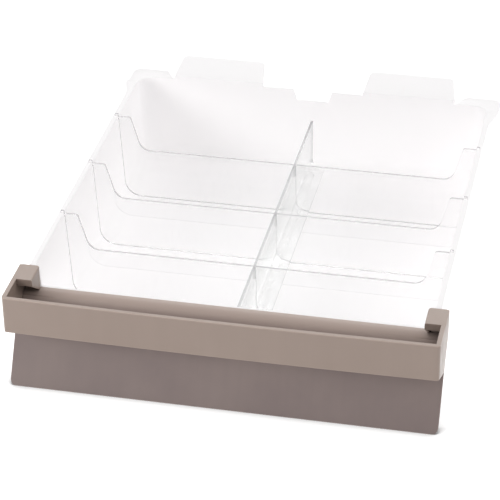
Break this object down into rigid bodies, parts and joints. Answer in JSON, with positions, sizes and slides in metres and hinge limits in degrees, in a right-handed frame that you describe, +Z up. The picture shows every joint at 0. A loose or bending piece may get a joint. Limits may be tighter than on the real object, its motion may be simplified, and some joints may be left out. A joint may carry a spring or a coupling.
{
  "type": "cash drawer",
  "caption": "Divided cash drawer: white moulded tray, sloped taupe front with a full-width pull, and clear lift-out dividers.",
  "frame": {"origin": "centre of the underside's bounding box: on the base plane, midway across the width and midway between the pull's face and the tips of the rear tabs", "axes": "+X to the right seen from the front, +Y from the pull towards the rear tabs, +Z up"},
  "size_m": [0.4, 0.4918, 0.1079],
  "materials": {
    "tray_white": "satin moulded plastic",
    "panel_taupe": "satin moulded plastic",
    "pull_taupe": "satin moulded plastic",
    "clear_divider": "clear plastic sheet",
    "screw_steel": "zinc plated"
  },
  "bodies": {
    "body": {"tray": "tray_white", "front_panel": "panel_taupe", "pull_rail": "pull_taupe", "panel_screws": "screw_steel"},
    "long_divider": {"long_divider": "clear_divider"},
    "cross_divider_front": {"cross_divider_front": "clear_divider"},
    "cross_divider_middle": {"cross_divider_middle": "clear_divider"},
    "cross_divider_rear": {"cross_divider_rear": "clear_divider"}
  },
  "joints": [
    {"name": "long_divider_lift", "type": "slide", "parent": "body", "child": "long_divider", "axis": [0, 0, 1], "range_m": [0, 0.11]},
    {"name": "cross_divider_front_lift", "type": "slide", "parent": "long_divider", "child": "cross_divider_front", "axis": [0, 0, 1], "range_m": [0, 0.1]},
    {"name": "cross_divider_middle_lift", "type": "slide", "parent": "long_divider", "child": "cross_divider_middle", "axis": [0, 0, 1], "range_m": [0, 0.1]},
    {"name": "cross_divider_rear_lift", "type": "slide", "parent": "long_divider", "child": "cross_divider_rear", "axis": [0, 0, 1], "range_m": [0, 0.1]}
  ]
}
